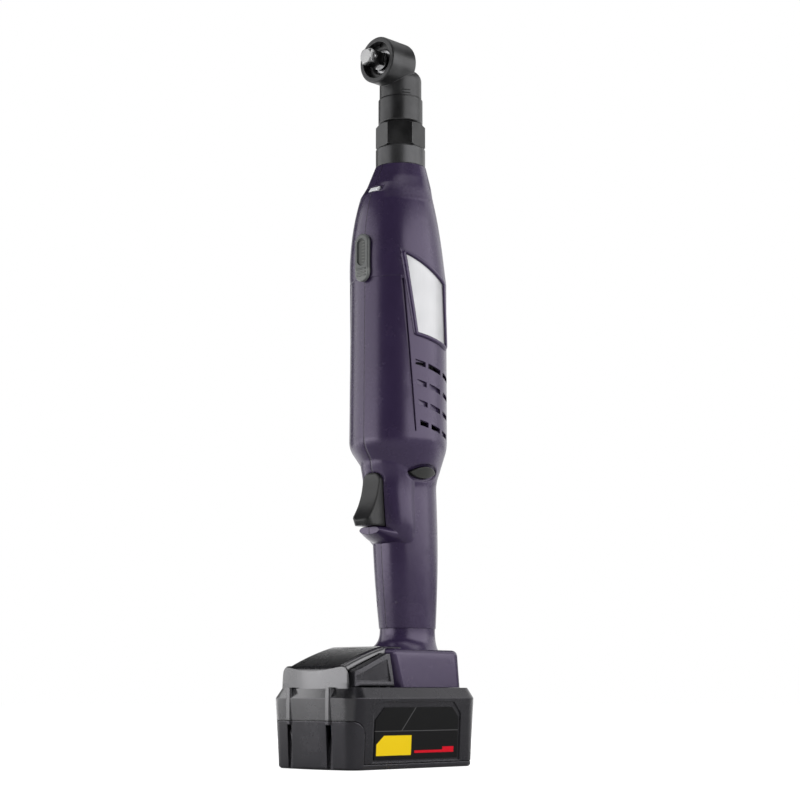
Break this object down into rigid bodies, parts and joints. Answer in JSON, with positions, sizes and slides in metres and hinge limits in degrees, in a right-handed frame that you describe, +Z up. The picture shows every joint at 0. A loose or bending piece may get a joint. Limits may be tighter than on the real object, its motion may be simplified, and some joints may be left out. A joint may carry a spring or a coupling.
{
  "type": "cordless angle nutrunner",
  "caption": "Upright battery nutrunner: round motor barrel and grip on a slide-on pack, with a clamped right-angle head, square drive, trigger, direction selector and torque window.",
  "frame": {"origin": "on the base plane of the battery pack, under the tool's long axis", "axes": "+Z up the tool's axis, -Y towards the trigger and the output drive, +X to the right side"},
  "size_m": [0.0782, 0.1244, 0.5026],
  "materials": {
    "housing": "fine satin moulded shell, grey with a violet cast",
    "trim_dark": "satin moulded dark grey",
    "cover_grey": "satin moulded mid grey",
    "plate": "brushed bare plate",
    "lens": "milky clear lens",
    "pack_shell": "fine textured dark grey",
    "label": null,
    "case_metal": "dark anodised, turned",
    "nut_metal": "blackened steel",
    "head_metal": "grey phosphated steel",
    "drive_metal": "bright ground steel",
    "inner_steel": "machined steel",
    "lamination": "stacked steel sheet",
    "copper": "enamelled copper wire",
    "inner_aluminium": "cast",
    "inner_plastic": "glass-filled moulding",
    "board": "printed circuit board",
    "lead_cover": "insulated wire",
    "cell": null,
    "terminal": "plated contact",
    "fastener": "black oxide"
  },
  "bodies": {
    "housing": {"right_housing": "housing", "left_housing": "housing", "housing_screws": "fastener", "name_plate": "plate", "trigger_spring": "inner_steel", "trigger_switch": "inner_plastic", "led_lens": "lens", "led_board": "board", "controller_board": "board", "motor_leads": "lead_cover", "battery_leads": "lead_cover", "motor_rear_plate": "inner_aluminium", "motor_front_plate": "inner_aluminium", "rotor_bearings": "inner_steel", "motor_stator": "lamination", "stator_windings": "copper", "ring_gear": "inner_steel", "clutch_bearing": "inner_steel", "gear_case": "case_metal", "battery_foot": "housing", "terminal_block": "inner_plastic", "terminal_blades": "terminal"},
    "trigger": {"trigger": "trim_dark"},
    "selector": {"direction_selector": "trim_dark"},
    "window_cover": {"window_cover": "cover_grey"},
    "rotor": {"rotor_shaft": "inner_steel", "rotor_core": "lamination", "cooling_fan": "inner_plastic"},
    "first_carrier": {"first_carrier": "inner_steel"},
    "first_planet_1": {"first_planet_1": "inner_steel"},
    "first_planet_2": {"first_planet_2": "inner_steel"},
    "first_planet_3": {"first_planet_3": "inner_steel"},
    "second_planet_1": {"second_planet_1": "inner_steel"},
    "second_planet_2": {"second_planet_2": "inner_steel"},
    "second_planet_3": {"second_planet_3": "inner_steel"},
    "clutch": {"second_carrier": "inner_steel", "clutch_nut": "inner_steel", "clutch_spring": "inner_steel", "clutch_cam": "inner_steel", "clutch_balls": "inner_steel", "clutch_shaft": "inner_steel"},
    "angle_head": {"head_housing": "head_metal", "head_clip": "inner_steel", "pinion_bearings": "inner_steel", "spindle_bearing": "inner_steel", "head_ring": "nut_metal"},
    "lock_nut": {"lock_nut": "nut_metal"},
    "pinion": {"bevel_pinion": "inner_steel"},
    "drive": {"bevel_gear": "inner_steel", "drive_spindle": "drive_metal", "detent_ball": "drive_metal"},
    "pack": {"pack_lower_case": "pack_shell", "pack_upper_case": "pack_shell", "pack_label": "label", "battery_cells": "cell", "pack_board": "board", "pack_screws": "fastener", "latch_springs": "inner_steel"},
    "latch_right": {"latch_right": "pack_shell"},
    "latch_left": {"latch_left": "pack_shell"}
  },
  "joints": [
    {"name": "trigger_pull", "type": "slide", "parent": "housing", "child": "trigger", "axis": [0, 1, 0], "range_m": [0, 0.006], "stiffness_N_per_m": 900, "springref_m": -0.004, "deforming": ["trigger_spring"]},
    {"name": "direction_shift", "type": "slide", "parent": "housing", "child": "selector", "axis": [1, 0, 0], "range_m": [-0.0025, 0.0025]},
    {"name": "window_slide", "type": "slide", "parent": "housing", "child": "window_cover", "axis": [0, 0, 1], "range_m": [0, 0.012]},
    {"name": "pack_slide", "type": "slide", "parent": "housing", "child": "pack", "axis": [0, -1, 0], "range_m": [0, 0.085]},
    {"name": "latch_right_press", "type": "slide", "parent": "pack", "child": "latch_right", "axis": [-1, 0, 0], "range_m": [0, 0.003], "stiffness_N_per_m": 900, "springref_m": -0.003, "deforming": ["latch_springs"]},
    {"name": "latch_left_press", "type": "slide", "parent": "pack", "child": "latch_left", "axis": [1, 0, 0], "range_m": [0, 0.003], "stiffness_N_per_m": 900, "springref_m": -0.003, "deforming": ["latch_springs"]},
    {"name": "head_swivel", "type": "hinge", "parent": "housing", "child": "angle_head", "pos_m": [0, 0, 0.434], "axis": [0, 0, 1], "range_deg": [-180, 180]},
    {"name": "lock_nut_turn", "type": "hinge", "parent": "housing", "child": "lock_nut", "pos_m": [0, 0, 0.426], "axis": [0, 0, 1], "range_deg": [0, 180]},
    {"name": "rotor_spin", "type": "hinge", "parent": "housing", "child": "rotor", "pos_m": [0, 0, 0.256], "axis": [0, 0, 1], "continuous": true},
    {"name": "first_carrier_spin", "type": "hinge", "parent": "housing", "child": "first_carrier", "pos_m": [0, 0, 0.295], "axis": [0, 0, 1], "continuous": true},
    {"name": "first_planet_1_spin", "type": "hinge", "parent": "first_carrier", "child": "first_planet_1", "pos_m": [0.0105, 0, 0.2866], "axis": [0, 0, 1], "continuous": true},
    {"name": "first_planet_2_spin", "type": "hinge", "parent": "first_carrier", "child": "first_planet_2", "pos_m": [-0.00525, 0.00909, 0.2866], "axis": [0, 0, 1], "continuous": true},
    {"name": "first_planet_3_spin", "type": "hinge", "parent": "first_carrier", "child": "first_planet_3", "pos_m": [-0.00525, -0.00909, 0.2866], "axis": [0, 0, 1], "continuous": true},
    {"name": "second_planet_1_spin", "type": "hinge", "parent": "clutch", "child": "second_planet_1", "pos_m": [0.0105, 0, 0.2989], "axis": [0, 0, 1], "continuous": true},
    {"name": "second_planet_2_spin", "type": "hinge", "parent": "clutch", "child": "second_planet_2", "pos_m": [-0.00525, 0.00909, 0.2989], "axis": [0, 0, 1], "continuous": true},
    {"name": "second_planet_3_spin", "type": "hinge", "parent": "clutch", "child": "second_planet_3", "pos_m": [-0.00525, -0.00909, 0.2989], "axis": [0, 0, 1], "continuous": true},
    {"name": "second_carrier_spin", "type": "hinge", "parent": "housing", "child": "clutch", "pos_m": [0, 0, 0.3073], "axis": [0, 0, 1], "continuous": true},
    {"name": "pinion_spin", "type": "hinge", "parent": "angle_head", "child": "pinion", "pos_m": [0, 0, 0.44], "axis": [0, 0, 1], "continuous": true},
    {"name": "drive_spin", "type": "hinge", "parent": "angle_head", "child": "drive", "pos_m": [0, -0.01, 0.4862], "axis": [0, -1, 0], "continuous": true}
  ],
  "couplings": [
    {"joint": "first_carrier_spin", "follows": "rotor_spin", "ratio": 0.2},
    {"joint": "first_planet_1_spin", "follows": "rotor_spin", "ratio": -0.53333},
    {"joint": "first_planet_2_spin", "follows": "rotor_spin", "ratio": -0.53333},
    {"joint": "first_planet_3_spin", "follows": "rotor_spin", "ratio": -0.53333},
    {"joint": "second_carrier_spin", "follows": "rotor_spin", "ratio": 0.04},
    {"joint": "second_planet_1_spin", "follows": "rotor_spin", "ratio": -0.10667},
    {"joint": "second_planet_2_spin", "follows": "rotor_spin", "ratio": -0.10667},
    {"joint": "second_planet_3_spin", "follows": "rotor_spin", "ratio": -0.10667},
    {"joint": "pinion_spin", "follows": "rotor_spin", "ratio": 0.04},
    {"joint": "drive_spin", "follows": "rotor_spin", "ratio": 0.024762}
  ]
}
